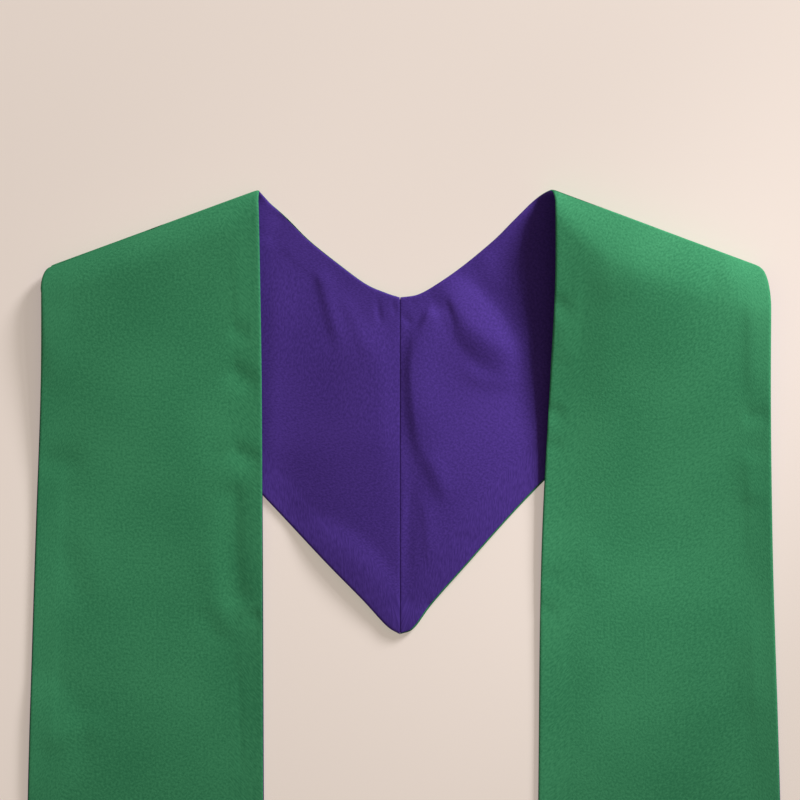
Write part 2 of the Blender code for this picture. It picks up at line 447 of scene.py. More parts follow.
@dataclass(frozen=True)
class Strap:
    """One half of the stole, from the centre back seam over the shoulder to the hem."""

    side: Side
    back: tuple[Section, ...]
    front: tuple[Width, ...]
    roll_inner: Roll
    roll_outer: Roll
    domes: tuple[Dome, ...]
    inner_wraps: tuple[Wrap, ...]
    outer_wraps: tuple[Wrap, ...]

    # The fold: how late its neck end turns, how round its dome is, how much of the dome's reach
    # comes before the fall, and how early the fall is steepest
    corner: float = 1.0
    dome_power: float = 2.2
    dome_brow: float = 0.8
    fall_bend: float = 0.75

    # The panel comes down beside the yoke, whose edge slants at 45 degrees, over the step's reach.
    # Its rows slant with the shoulder at first, and are level from level_at
    yoke_slant: float = math.sqrt(0.5)
    step_reach: float = 100 * MM
    level_at: float = 0.420

    # The grid: fine rows as far as near_down, then coarser ones to the hem
    near_down: float = 0.440
    near_spacing: float = 3.0 * MM
    far_spacing: float = 9.0 * MM
    back_rows: int = 84
    roll_rows: int = 14
    roll_stations: float = 0.01
    inside_columns: int = 30
    least_square: float = 0.45

    # The edges: the nose, the columns over the seam allowance in millimetres from the edge, and
    # the rows beside the centre back seam, counted in sections
    nose: float = 1.5 * MM
    nose_turns: tuple[float, ...] = (0, 14, 28, 44, 64, 90)
    allowance_distances: tuple[float, ...] = (2.6, 4.2, 6.5, 9.5, 12.5, 14.4, 15.8, 17.2, 18.8, 21.5)
    seam_stations: tuple[float, ...] = (0, 0.012, 0.028, 0.05, 0.08, 0.12, 0.18, 0.27, 0.38, 0.5)

    # The front's edges curl up a little, and its cloth is slightly uneven
    edge_curl: float = 1.0 * MM
    curl_reach: float = 26 * MM
    ripple: float = 0.05 * MM
    ripple_length: float = 34 * MM
    ripple_stretch: float = 1.6
    ripple_base: float = 0.6
    ripple_finer: float = 2.7
    ripple_finer_share: float = 0.4
    ripple_shift: float = 3.7

    def fold_line(self) -> tuple[np.ndarray, float, float]:
        """Finds the outline of the shoulder fold.

        Returns:
            Its two ends, its slope and the cosine of its slant.
        """
        rolls = (self.roll_inner, self.roll_outer)
        ends = np.array([(roll.fold_out, roll.fold_down) for roll in rolls])
        slope = (ends[1, 1] - ends[0, 1]) / (ends[1, 0] - ends[0, 0])
        return ends, slope, 1 / math.hypot(1.0, slope)

    def below_fold(self, out: np.ndarray, down: np.ndarray) -> np.ndarray:
        """How far each place is from the fold's outline, square to it."""
        ends, slope, level = self.fold_line()
        return (down - ends[0, 1] - slope * (out - ends[0, 0])) * level

    def back_ends(self, stations: np.ndarray) -> np.ndarray:
        """The two ends of the back half's rows at these stations, counted in sections."""
        table = [section.row() for section in self.back]
        return curve_through(range(len(table)), table, stations).reshape(-1, 2, 2)

    def yoke_edge_down(self, out: np.ndarray) -> np.ndarray:
        """How far down the yoke's lower edge is, this far out."""
        outline = self.back_ends(np.linspace(0, len(self.back) - 1, self.back_rows))[:, 1]
        return np.interp(out, outline[:, 0], outline[:, 1])

    def front_rows(self, crest_downs: np.ndarray) -> tuple[np.ndarray, np.ndarray]:
        """Lays out the front panel's rows, from the roll's crest to the hem.

        Args:
            crest_downs: how far down the crest is at the inner and outer edges.

        Returns:
            The two ends of each row, and how far each row is from the hem.
        """
        near_count = round((self.near_down - crest_downs[0]) / self.near_spacing)
        far_count = round((LENGTH - self.near_down) / self.far_spacing)
        near = np.linspace(crest_downs[0], self.near_down, near_count + 1)
        far = np.linspace(self.near_down, LENGTH, far_count + 1)[1:-1]
        turns = np.radians(self.nose_turns)[::-1]
        hem = LENGTH - self.nose * (1 - np.cos(turns))
        inner = np.concatenate([near, far, hem])
        slant = (crest_downs[1] - crest_downs[0]) * (1 - smooth_step(inner / self.level_at))
        slant *= (crest_downs[1] - crest_downs[0]) / slant[0]
        downs = np.stack([inner, inner + slant], axis=1)
        table = np.array([(row.down, row.inner_out, row.outer_out) for row in self.front])
        ends = np.empty((len(inner), 2, 2))
        ends[:, 0, 0] = curve_through(table[:, 0], table[:, 1], downs[:, 0])
        ends[:, 1, 0] = curve_through(table[:, 0], table[:, 2], downs[:, 1])
        ends[:, :, 1] = downs
        return ends, LENGTH - inner

    def rows(self) -> Rows:
        """Lays out the rows of the back half, of the fold's two quarters and of the front.

        Returns:
            The rows, in order from the centre back seam.
        """
        outline, slope, level = self.fold_line()
        fold = outline + HALF_SANDWICH * level * np.array([-slope, 1.0])
        last_section = len(self.back) - 1
        spaced = np.linspace(self.seam_stations[-1], last_section, self.back_rows + 1)[1:]
        back_stations = np.concatenate([self.seam_stations, spaced])
        back = self.back_ends(back_stations)

        crests = np.array([self.roll_inner.crest, self.roll_outer.crest])
        crest_out = np.array([self.front[0].inner_out, self.front[0].outer_out])
        crest_down = outline[0, 1] + slope * (crest_out - outline[0, 0]) + crests / level
        turns = np.linspace(0, RIGHT_ANGLE, self.roll_rows + 1)[1:]
        onward, back_again = np.sin(turns)[:, None], 1 - np.cos(turns)[:, None]
        late = 1 - (1 - onward) ** np.array([self.corner, 1.0])
        tucked = back[-1]
        under = [mix(tucked[:, 0], fold[:, 0], onward), mix(tucked[:, 1], fold[:, 1], late)]
        over = [mix(fold[:, 0], crest_out, onward), mix(fold[:, 1], crest_down, back_again)]

        front, hem_distance = self.front_rows(crest_down)
        front, hem_distance = front[1:], hem_distance[1:]
        fold_shares = np.linspace(0, 1, 2 * self.roll_rows + 1)[1:]
        fold_stations = last_section + fold_shares * self.roll_stations
        front_stations = last_section + self.roll_stations + front[:, 0, 1]
        return Rows(
            ends=np.concatenate([back, np.stack(under, axis=2), np.stack(over, axis=2), front]),
            stations=np.concatenate([back_stations, fold_stations, front_stations]),
            parts=np.repeat(list(Part), [len(back), self.roll_rows, self.roll_rows, len(front)]),
            turns=np.concatenate([np.zeros(len(back)), turns, turns, np.zeros(len(front))]),
            hem_distance=hem_distance,
        )

    def wraps(self, table: tuple[Wrap, ...], stations: np.ndarray) -> np.ndarray:
        """Reads how far round the edge the seam sits in each row.

        Args:
            table: the seam's places along the edge.
            stations: each row's place along the strap.

        Returns:
            The angle in each row, in radians.
        """
        keys = [wrap.station for wrap in table]
        values = [wrap.degrees for wrap in table]
        return np.radians(np.interp(stations, keys, values))

    def edge_columns(self, rows: Rows, end: int, table: tuple[Wrap, ...], layer: Layer) -> EdgeColumns:
        """Spaces a layer's columns beside one edge, at their real sizes square to the edge.

        Args:
            rows: the strap's rows.
            end: 0 for the inner ends of the rows, 1 for the outer ones.
            table: the seam's places along the edge.
            layer: the cloth, whose nose starts where the seam has rolled to.

        Returns:
            The columns, from the edge inwards.
        """
        spans = rows.ends[:, 1] - rows.ends[:, 0]
        across = spans / np.linalg.norm(spans, axis=1)[:, None]
        edge = np.gradient(rows.ends[:, end], axis=0)
        edge /= np.maximum(np.linalg.norm(edge, axis=1), TINY)[:, None]
        square = np.abs(across[:, 0] * edge[:, 1] - across[:, 1] * edge[:, 0])
        stretch = 1 / np.maximum(square, self.least_square)

        start = -self.wraps(table, rows.stations) * layer.value
        quarter = np.array(self.nose_turns) / 90
        turns = mix(start[:, None], RIGHT_ANGLE, quarter)
        nose = self.nose * (1 - np.cos(turns))
        allowance = np.array(self.allowance_distances) * MM
        flat = np.broadcast_to(allowance, (len(rows.ends), len(allowance)))
        from_edge = np.concatenate([nose, flat], axis=1)
        turns = np.concatenate([turns, np.full(flat.shape, RIGHT_ANGLE)], axis=1)
        return EdgeColumns(from_end=from_edge * stretch[:, None], turns=turns, from_edge=from_edge)

    def columns(self, rows: Rows, layer: Layer) -> Columns:
        """Spaces a layer's columns across every row, evenly between the two seam allowances.

        Args:
            rows: the strap's rows.
            layer: the cloth whose columns are wanted.

        Returns:
            The columns, from the inner edge to the outer one.
        """
        widths = np.linalg.norm(rows.ends[:, 1] - rows.ends[:, 0], axis=1)[:, None]
        inner = self.edge_columns(rows, 0, self.inner_wraps, layer)
        outer = self.edge_columns(rows, 1, self.outer_wraps, layer)
        share = np.linspace(0, 1, self.inside_columns + 2)[1:-1]
        inside = mix(inner.from_end[:, -1:], widths - outer.from_end[:, -1:], share)
        flat = np.full(inside.shape, RIGHT_ANGLE)
        flat_side = np.full(inner.turns.shape, RIGHT_ANGLE)
        deep = np.full(inside.shape, self.allowance_distances[-1] * MM)
        return Columns(
            distance=np.concatenate([inner.from_end, inside, widths - outer.from_end[:, ::-1]], axis=1),
            inner_turn=np.concatenate([inner.turns, flat, flat_side], axis=1),
            outer_turn=np.concatenate([flat_side, flat, outer.turns[:, ::-1]], axis=1),
            edge_distance=np.concatenate([inner.from_edge, deep, outer.from_edge[:, ::-1]], axis=1),
        )

    def rise(self, rows: Rows, share: np.ndarray, plan: np.ndarray) -> tuple[np.ndarray, np.ndarray]:
        """Works out how high the middle surface stands, before its edges curl.

        Args:
            rows: the strap's rows.
            share: how far each point is along its row.
            plan: the points seen from above, as out and down.

        Returns:
            Each point's height, and how far its roll has fallen there, between 0 and 1.
        """
        out, down = plan[..., 0], plan[..., 1]
        x = self.side.value * out
        part, turn = rows.parts[:, None], rows.turns[:, None]
        from_fold = self.below_fold(out, down)
        shares = [dome.share for dome in self.domes]
        dome_reach = np.interp(share, shares, [dome.reach for dome in self.domes])
        dome_rise = np.interp(share, shares, [dome.rise for dome in self.domes])
        top = mix(self.roll_inner.height, self.roll_outer.height, share) - HALF_SANDWICH
        lying = HALF_SANDWICH + sum(mound.lift(x, down) for mound in YOKE_MOUNDS)
        rising = mix(lying, top - dome_rise, 1 - np.cos(turn))
        ahead = np.clip(1 - (from_fold - HALF_SANDWICH) / dome_reach, 0.0, 1.0)
        domed = dome_rise * ahead**self.dome_power

        brow = mix(self.roll_inner.brow, self.roll_outer.brow, share)
        brow = np.maximum(brow, self.dome_brow * dome_reach)
        descent = mix(self.roll_inner.descent, self.roll_outer.descent, share)
        fallen = np.clip((from_fold - brow) / (descent - brow), 0.0, 1.0)
        fallen = smooth_step(fallen**self.fall_bend)
        past_yoke = (down - self.yoke_edge_down(out)) * self.yoke_slant
        drop = smooth_step(past_yoke / self.step_reach)
        rest = HALF_SANDWICH + (SANDWICH + GAP) * (1 - drop) + FRONT_LIFT.lift(x, down)
        falling = mix(top, rest, fallen) - domed
        others = [part == Part.BACK, part == Part.UNDER_FOLD, part == Part.OVER_FOLD]
        return np.select(others, [lying, rising, top - domed], falling), fallen

    def uppermost(self, rows: Rows, layer: Layer) -> np.ndarray:
        """Tells how far a layer is the one that shows from above, row by row.

        Args:
            rows: the strap's rows.
            layer: the cloth in question.

        Returns:
            A column of shares: 1 where the layer is on top, 0 where it is underneath.
        """
        part, turn = rows.parts[:, None], rows.turns[:, None]
        if layer is Layer.FACE:
            return np.select([part < Part.OVER_FOLD, part == Part.OVER_FOLD], [0.0, np.sin(turn)], 1.0)
        return np.select([part < Part.UNDER_FOLD, part == Part.UNDER_FOLD], [1.0, np.cos(turn)], 0.0)

    def grid(self, layer: Layer) -> Grid:
        """Lays out a layer's grid over the strap's middle surface.

        Args:
            layer: the cloth whose columns and seam are wanted.

        Returns:
            The grid, with what the shell needs at each point.
        """
        rows = self.rows()
        columns = self.columns(rows, layer)
        widths = np.linalg.norm(rows.ends[:, 1] - rows.ends[:, 0], axis=1)
        share = columns.distance / widths[:, None]
        plan = mix(rows.ends[:, :1], rows.ends[:, 1:], share[..., None])
        out, down = plan[..., 0], plan[..., 1]
        x = self.side.value * out
        part = rows.parts[:, None]

        rise, fallen = self.rise(rows, share, plan)
        curl = self.edge_curl * np.clip(1 - columns.edge_distance / self.curl_reach, 0, 1) ** 2
        uneven = curl * fallen + self.ripples(x, down)
        middle = np.stack([x, LENGTH / 2 - down, rise + np.where(part == Part.FRONT, uneven, 0.0)], axis=2)
        toward_face = np.cross(np.gradient(middle, axis=0), np.gradient(middle, axis=1)) * self.side.value
        toward_face /= np.maximum(np.linalg.norm(toward_face, axis=2, keepdims=True), TINY)

        upper = self.uppermost(rows, layer)
        creases = YOKE_CREASES if layer is Layer.LINING else FRONT_CREASES
        hem_rise = np.ones(len(rows.ends))
        hem_rise[-len(rows.hem_distance):] = self.nose_rise(rows.hem_distance)
        return Grid(
            middle=middle,
            toward_face=toward_face,
            lifted=sum(crease.lift(x, down) for crease in creases) * upper,
            upper=np.broadcast_to(upper, x.shape),
            columns=columns,
            hem_rise=hem_rise[:, None],
            seam_distance=np.where(part == Part.BACK, np.abs(out - rows.ends[0, 0, 0]), 1.0),
            weave=self.weave_places(rows.parts, plan, middle),
        )

    def nose_rise(self, distance: np.ndarray) -> np.ndarray:
        """The height of the rounded edge this far inside it, as a share of the full height."""
        inside = np.clip(1 - distance / self.nose, 0, 1)
        return np.sqrt(1 - inside**2)

    def ripples(self, x: np.ndarray, down: np.ndarray) -> np.ndarray:
        """Makes the slight unevenness of cloth that has been folded and smoothed out by hand.

        Args:
            x: places across the stole.
            down: the same places' distances below the neck point.

        Returns:
            The rise at each place.
        """
        rise = np.empty(x.size)
        shift = self.side.value * self.ripple_shift
        for index, (a, b) in enumerate(zip(x.flat, down.flat)):
            place = Vector((a / self.ripple_length, b / self.ripple_length / self.ripple_stretch, shift))
            finer = noise.noise(place * self.ripple_finer)
            rise[index] = noise.noise(place) + self.ripple_finer_share * finer
        return self.ripple * (self.ripple_base + rise.reshape(x.shape))

    def weave_places(self, parts: np.ndarray, plan: np.ndarray, middle: np.ndarray) -> np.ndarray:
        """Finds each point's place in the strap's flat cut, with its warp along the front panel.

        Args:
            parts: each row's part of the strap.
            plan: the points seen from above, as out and down.
            middle: the points in space.

        Returns:
            The distances across and along the flat strap.
        """
        outline, slope, level = self.fold_line()
        from_fold = self.below_fold(plan[..., 0], plan[..., 1])
        along_fold = ((plan[..., 0] - outline[0, 0]) + slope * (plan[..., 1] - outline[0, 1])) * level
        steps = np.linalg.norm(np.diff(middle, axis=0, prepend=middle[:1]), axis=2)
        length = np.cumsum(steps, axis=0)
        under = np.flatnonzero(parts == Part.UNDER_FOLD)
        over = np.flatnonzero(parts == Part.OVER_FOLD)
        rolled = length - length[under[-1]]
        back = rolled[under[0]] - (from_fold - from_fold[under[0]])
        front = rolled[over[-1]] + (from_fold - from_fold[over[-1]])
        part = parts[:, None]
        over_fold = np.select([part == Part.BACK, part == Part.FRONT], [back, front], rolled)
        across = along_fold * level - over_fold * slope * level
        along = over_fold * level + along_fold * slope * level
        return np.stack([across, along], axis=2)


LEFT = Strap(
    side=Side.LEFT,
    back=(
        Section(SEAM_SHIFT + GAP / 2, 0.0688, SEAM_SHIFT + GAP / 2, 0.2842),
        Section(0.0115, 0.0659, 0.0115, 0.2785),
        Section(0.0243, 0.0602, 0.0269, 0.2618),
        Section(0.0410, 0.0480, 0.0499, 0.2384),
        Section(0.0602, 0.0326, 0.0858, 0.2003),
        Section(0.0742, 0.0186, 0.1500, 0.1326),
        Section(0.0858, 0.0083, 0.2198, 0.0595),
    ),
    front=(
        Width(0.000, 0.0928, 0.2317),
        Width(0.115, 0.0909, 0.2317),
        Width(0.215, 0.0902, 0.2354),
        Width(0.390, 0.0896, 0.2406),
        Width(0.800, 0.0870, 0.2460),
        Width(LENGTH, 0.0845, 0.2495),
    ),
    roll_inner=Roll(0.0928, 0.0, height=0.0125, crest=0.008, brow=0.008, descent=0.130),
    roll_outer=Roll(0.2259, 0.0486, height=0.0115, crest=0.012, brow=0.014, descent=0.165),
    domes=(Dome(0.0, 0.014, 0.0050), Dome(0.1, 0.020, 0.0040), Dome(1.0, 0.020, 0.0040)),
    inner_wraps=(
        Wrap(0, 20), Wrap(3, 35), Wrap(5, 60), Wrap(6.0, 20), Wrap(6.08, -15), Wrap(6.3, -50),
        Wrap(8, -40),
    ),
    outer_wraps=(Wrap(0, 10), Wrap(4, 10), Wrap(6.0, 0), Wrap(6.07, -5), Wrap(6.12, -40), Wrap(8, -40)),
)

RIGHT = Strap(
    side=Side.RIGHT,
    back=(
        Section(-SEAM_SHIFT + GAP / 2, 0.0688, -SEAM_SHIFT + GAP / 2, 0.2842),
        Section(0.0090, 0.0669, 0.0064, 0.2803),
        Section(0.0218, 0.0598, 0.0179, 0.2650),
        Section(0.0384, 0.0480, 0.0371, 0.2432),
        Section(0.0576, 0.0320, 0.0832, 0.1926),
        Section(0.0691, 0.0205, 0.1510, 0.1267),
        Section(0.0800, 0.0096, 0.2204, 0.0634),
    ),
    front=(
        Width(0.000, 0.0960, 0.2336),
        Width(0.060, 0.0960, 0.2336),
        Width(0.115, 0.0934, 0.2336),
        Width(0.215, 0.0884, 0.2354),
        Width(0.390, 0.0858, 0.2406),
        Width(0.800, 0.0840, 0.2460),
        Width(LENGTH, 0.0830, 0.2495),
    ),
    roll_inner=Roll(0.0934, 0.0, height=0.0240, crest=0.008, brow=0.017, descent=0.205),
    roll_outer=Roll(0.2272, 0.0493, height=0.0175, crest=0.023, brow=0.023, descent=0.205),
    corner=1.45,
    domes=(
        Dome(0.0, 0.014, 0.0055),
        Dome(0.1, 0.024, 0.0055),
        Dome(0.25, 0.034, 0.0055),
        Dome(0.5, 0.036, 0.0055),
        Dome(0.75, 0.034, 0.0055),
        Dome(1.0, 0.030, 0.0055),
    ),
    inner_wraps=(Wrap(0, 20), Wrap(3, 5), Wrap(6.0, 0), Wrap(6.3, -20), Wrap(8, -30)),
    outer_wraps=(
        Wrap(0, 55), Wrap(1, 72), Wrap(4, 75), Wrap(5, 30), Wrap(6.0, 0), Wrap(6.3, -10),
        Wrap(6.45, -50), Wrap(8, -45),
    ),
)


@dataclass(frozen=True)
class ClothShell:
    """One cloth of one strap: the face or the lining, as a thin closed shell."""

    strap: Strap
    layer: Layer

    # The shell's own wall, the least that its outer skin stands off the middle surface, and what
    # it stands off it between the seam allowances
    wall: float = 0.5 * MM
    least: float = 0.04 * MM
    inside: float = 1.02 * MM

    # The seam allowances that show softly through, here more and there less
    allowance_edge: float = 14.2 * MM
    allowance_fade: float = 4.0 * MM
    allowance_rise: float = 0.20 * MM
    allowance_changes: float = 60 * MM
    allowance_stretch: float = 0.6
    allowance_shift: float = 9.3
    allowance_usual: float = 0.45
    allowance_range: float = 1.1

    # The groove of the centre back seam
    seam_depth: float = 0.32 * MM
    seam_width: float = 0.6 * MM

    FLAT: ClassVar[float] = RIGHT_ANGLE - 1e-6

    @property
    def cloth(self) -> str:
        """The cloth's name: outer for the face, lining for the other."""
        return "outer" if self.layer is Layer.FACE else "lining"

    @property
    def node(self) -> str:
        """The solid that this shell stands for."""
        return f"{self.cloth}_{self.strap.side.name.lower()}"

    def heights(self, grid: Grid) -> tuple[np.ndarray, np.ndarray]:
        """How far the shell's two skins stand off the middle surface.

        Args:
            grid: the strap's grid for this layer.

        Returns:
            The outer and the inner skin's heights.
        """
        columns = grid.columns
        fade = smooth_step((columns.edge_distance - self.allowance_edge) / self.allowance_fade)
        shaped = self.inside + self.allowance_rise * (1 - fade) * self.pressed(grid)
        groove = self.seam_depth * np.exp(-grid.seam_distance / self.seam_width) * grid.upper
        flat = mix(HALF_SANDWICH, shaped, grid.upper) - groove
        nose = np.sin(columns.inner_turn) * np.sin(columns.outer_turn) * grid.hem_rise
        rim = np.minimum(columns.inner_turn, columns.outer_turn) < self.FLAT
        lifted = grid.lifted * np.where(rim, np.clip(nose, 0, 1), 1.0)
        outer = np.maximum(flat * nose + lifted, np.where(nose < 0, flat * nose, self.least))
        inner = np.where(nose > 0, np.maximum(outer - self.wall, self.least / 2), outer + self.least)
        return outer, np.minimum(inner, outer - self.least / 2)

    def pressed(self, grid: Grid) -> np.ndarray:
        """Works out how strongly the seam allowances show through.

        Args:
            grid: the strap's grid for this layer.

        Returns:
            A share between 0 and 1 at each point.
        """
        across, along = np.moveaxis(grid.weave / self.allowance_changes, 2, 0)
        shift = self.allowance_shift * self.layer.value
        share = np.empty(along.size)
        for index, (a, b) in enumerate(zip(along.flat, across.flat)):
            share[index] = noise.noise(Vector((a, self.allowance_stretch * b, shift)))
        return smooth_step(self.allowance_usual + self.allowance_range * share.reshape(along.shape))

    def build(self) -> bpy.types.Object:
        """Builds the shell's mesh, with the flat cut's places as its UV map.

        Returns:
            The new object, linked to the scene.
        """
        grid = self.strap.grid(self.layer)
        outer, inner = self.heights(grid)
        sign = self.layer.value
        skins = [grid.middle + grid.toward_face * (sign * height)[..., None] for height in (outer, inner)]
        rows, columns = outer.shape
        points = np.concatenate([skin.reshape(-1, 3) for skin in skins])
        index = np.arange(rows * columns).reshape(rows, columns)
        below = index + rows * columns
        turned = sign * self.strap.side.value < 0
        faces = [
            self.quads(index[:-1, :-1], index[1:, :-1], index[1:, 1:], index[:-1, 1:], turned),
            self.quads(below[:-1, :-1], below[1:, :-1], below[1:, 1:], below[:-1, 1:], not turned),
        ]
        border = np.concatenate([index[0, :], index[1:, -1], index[-1, -2::-1], index[-2:0:-1, 0]])
        onward = np.roll(border, -1)
        lift = rows * columns
        faces.append(self.quads(border, border + lift, onward + lift, onward, not turned))
        faces = np.concatenate(faces)
        mesh = bpy.data.meshes.new(f"{self.node}_cloth")
        mesh.from_pydata(points.tolist(), [], faces.tolist())
        weave = np.tile(grid.weave.reshape(-1, 2), (2, 1))
        layer = mesh.uv_layers.new(name="Flat cut")
        layer.uv.foreach_set("vector", weave[faces.reshape(-1)].astype(np.float32).ravel())
        mesh.shade_smooth()
        mesh.update()
        shell = bpy.data.objects.new(mesh.name, mesh)
        bpy.context.scene.collection.objects.link(shell)
        return shell

    @staticmethod
    def quads(a: np.ndarray, b: np.ndarray, c: np.ndarray, d: np.ndarray, turned: bool) -> np.ndarray:
        """Four-sided faces from four arrays of corners, in the other order where turned."""
        corners = (a, d, c, b) if turned else (a, b, c, d)
        return np.stack([corner.ravel() for corner in corners], axis=1)


def linear(hex_colour: str) -> tuple[float, float, float, float]:
    """Turns an sRGB hex colour to a linear one.

    Args:
        hex_colour: the colour, such as "#429466".

    Returns:
        Its linear red, green and blue, and full alpha.
    """
    values = [int(hex_colour[k : k + 2], 16) / 255 for k in (1, 3, 5)]
    linear_values = [v / 12.92 if v <= 0.04045 else ((v + 0.055) / 1.055) ** 2.4 for v in values]
    return (*linear_values, 1.0)


def add_node(
    tree: bpy.types.NodeTree, kind: str, links: dict | None = None, **settings: str | bool
) -> bpy.types.Node:
    """Adds a node with its settings and links.

    Args:
        tree: the node tree that takes it.
        kind: the node's type name.
        links: for each input, the socket that feeds it or the value that it takes.
        **settings: the node's own properties.

    Returns:
        The new node.
    """
    node = tree.nodes.new(kind)
    for name, value in settings.items():
        setattr(node, name, value)
    for key, value in (links or {}).items():
        if isinstance(value, bpy.types.NodeSocket):
            tree.links.new(value, node.inputs[key])
        else:
            node.inputs[key].default_value = value
    return node


@dataclass(frozen=True)
class Gabardine:
    """Woven polyester gabardine, matt.

    The eye sees an even colour, faintly mottled, with a soft grain and a slight bloom where the
    cloth turns away. Its twill lines are about 0.4 mm apart in reality. The grain is drawn 1.5 mm
    across, because a finer one would not show. The dye changes slightly over some 60 mm.
    """

    name: str
    colour: str
    shade: str
    grain: float = 1.5 * MM
    grain_detail: float = 3.0
    grain_roughness: float = 0.6
    grain_depth: float = 0.06 * MM
    cloud: float = 60 * MM
    cloud_detail: float = 1.0
    cloud_share: float = 0.3
    shade_at: float = 0.50
    colour_at: float = 0.80
    roughness: float = 0.82
    ior: float = 1.5
    specular: float = 0.15
    sheen: float = 0.08
    sheen_roughness: float = 0.5

    def material(self) -> bpy.types.Material:
        """Makes the cloth's material: mottled colour, the grain's bump and the sheen.

        Returns:
            The new material.
        """
        material = bpy.data.materials.new(self.name)
        material.use_nodes = True
        tree = material.node_tree
        shader = tree.nodes["Principled BSDF"]
        shader.inputs["Roughness"].default_value = self.roughness
        shader.inputs["IOR"].default_value = self.ior
        shader.inputs["Specular IOR Level"].default_value = self.specular
        shader.inputs["Sheen Weight"].default_value = self.sheen
        shader.inputs["Sheen Roughness"].default_value = self.sheen_roughness
        shader.inputs["Sheen Tint"].default_value = linear(self.colour)
        places = add_node(tree, "ShaderNodeUVMap", uv_map="Flat cut").outputs["UV"]
        mottle = add_node(
            tree,
            "ShaderNodeTexNoise",
            {
                "Vector": places,
                "Scale": 1 / self.grain,
                "Detail": self.grain_detail,
                "Roughness": self.grain_roughness,
            },
        ).outputs["Fac"]
        cloud = add_node(
            tree,
            "ShaderNodeTexNoise",
            {"Vector": places, "Scale": 1 / self.cloud, "Detail": self.cloud_detail},
        ).outputs["Fac"]
        blend = add_node(
            tree, "ShaderNodeMath", {0: cloud, 1: self.cloud_share, 2: mottle}, operation="MULTIPLY_ADD"
        ).outputs[0]
        spread = add_node(
            tree,
            "ShaderNodeMapRange",
            {"Value": blend, "From Min": self.shade_at, "From Max": self.colour_at},
        ).outputs["Result"]
        colour = add_node(
            tree,
            "ShaderNodeMix",
            {"Factor": spread, "A": linear(self.shade), "B": linear(self.colour)},
            data_type="RGBA",
        ).outputs["Result"]
        tree.links.new(colour, shader.inputs["Base Color"])
        bump = add_node(
            tree, "ShaderNodeBump", {"Height": mottle, "Distance": self.grain_depth, "Strength": 1.0}
        ).outputs["Normal"]
        tree.links.new(bump, shader.inputs["Normal"])
        return material


GREEN_CLOTH = Gabardine(name="Green polyester gabardine", colour="#429466", shade="#307E55")
PURPLE_CLOTH = Gabardine(name="Purple polyester gabardine", colour="#503690", shade="#40297A")


@dataclass(frozen=True)
class SeamAllowance:
    """The lining's pressed-open seam allowances, which close the bottom of the centre back seam.

    They stop short of the seam's ends by the inset. Towards each end they narrow to the least
    reach, more slowly at the yoke's point than at the neck.
    """

    reach: float = 11 * MM
    least_reach: float = 0.6 * MM
    inset: float = 1.2 * MM
    clear: float = 0.625 * MM
    neck_slope: float = 0.35
    point_slope: float = 0.9
    thickness: float = 0.3 * MM
    slack: float = 0.02 * MM
    rows: int = 60
    columns: int = 8

    def build(self) -> bpy.types.Object:
        """Builds the allowances as one thin strip on the yoke's middle surface.

        Returns:
            The new object, linked to the scene.
        """
        seam = LEFT.back[0]
        downs = np.linspace(seam.neck_down + self.inset, seam.edge_down - self.inset, self.rows)
        from_neck = (downs - seam.neck_down) / self.neck_slope
        from_point = (seam.edge_down - downs) / self.point_slope
        reaches = np.minimum(from_neck, from_point) - self.clear
        reaches = np.clip(reaches, self.least_reach, self.reach)
        x = reaches[:, None] * np.linspace(-1, 1, self.columns) - SEAM_SHIFT
        down = np.repeat(downs[:, None], self.columns, axis=1)
        rise = HALF_SANDWICH - self.thickness + sum(mound.lift(x, down) for mound in YOKE_MOUNDS)
        points = np.stack([x, LENGTH / 2 - down, rise], axis=2).reshape(-1, 3)
        index = np.arange(len(points)).reshape(self.rows, self.columns)
        faces = ClothShell.quads(index[:-1, :-1], index[1:, :-1], index[1:, 1:], index[:-1, 1:], False)
        mesh = bpy.data.meshes.new("lining_seam_allowance")
        mesh.from_pydata(points.tolist(), [], faces.tolist())
        layer = mesh.uv_layers.new(name="Flat cut")
        layer.uv.foreach_set("vector", points[faces.ravel(), :2].astype(np.float32).ravel())
        mesh.shade_smooth()
        strip = bpy.data.objects.new(mesh.name, mesh)
        bpy.context.scene.collection.objects.link(strip)
        thicken = strip.modifiers.new("Cloth thickness", "SOLIDIFY")
        thicken.thickness = self.thickness - self.slack
        thicken.offset = 1.0
        return strip


@dataclass(frozen=True)
class Stole:
    """The whole stole: four cloth shells and the centre back seam's allowances."""

    cut_width: float = 0.215
    cut_length: float = 1.556
    cut_areas: dict[Side, float] = field(default_factory=lambda: {Side.LEFT: 0.2249, Side.RIGHT: 0.2282})

    def build(self) -> None:
        """Builds and dresses every piece of the stole."""
        finishes = {Layer.FACE: GREEN_CLOTH.material(), Layer.LINING: PURPLE_CLOTH.material()}
        slots = {Layer.FACE: "green_cloth", Layer.LINING: "purple_cloth"}
        allowance = SeamAllowance().build()
        self.dress(allowance, finishes[Layer.LINING], slots[Layer.LINING])
        for strap in (LEFT, RIGHT):
            for layer in (Layer.FACE, Layer.LINING):
                shell = ClothShell(strap, layer)
                piece = shell.build()
                self.dress(piece, finishes[layer], slots[layer])
                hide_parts(shell.node)

    @staticmethod
    def dress(piece: bpy.types.Object, finish: bpy.types.Material, slot: str) -> None:
        """Gives a piece its finish and its body.

        Args:
            piece: the piece to dress.
            finish: its material.
            slot: the slot that the material stands for; not used.
        """
        piece.data.materials.append(finish)
        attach(piece, "root")
        LOG.info("%s: %d faces", piece.name, len(piece.data.polygons))


@dataclass(frozen=True)
class Pool:
    """A soft round pool of light: its middle on the floor and its power."""

    x: float
    y: float
    power: float


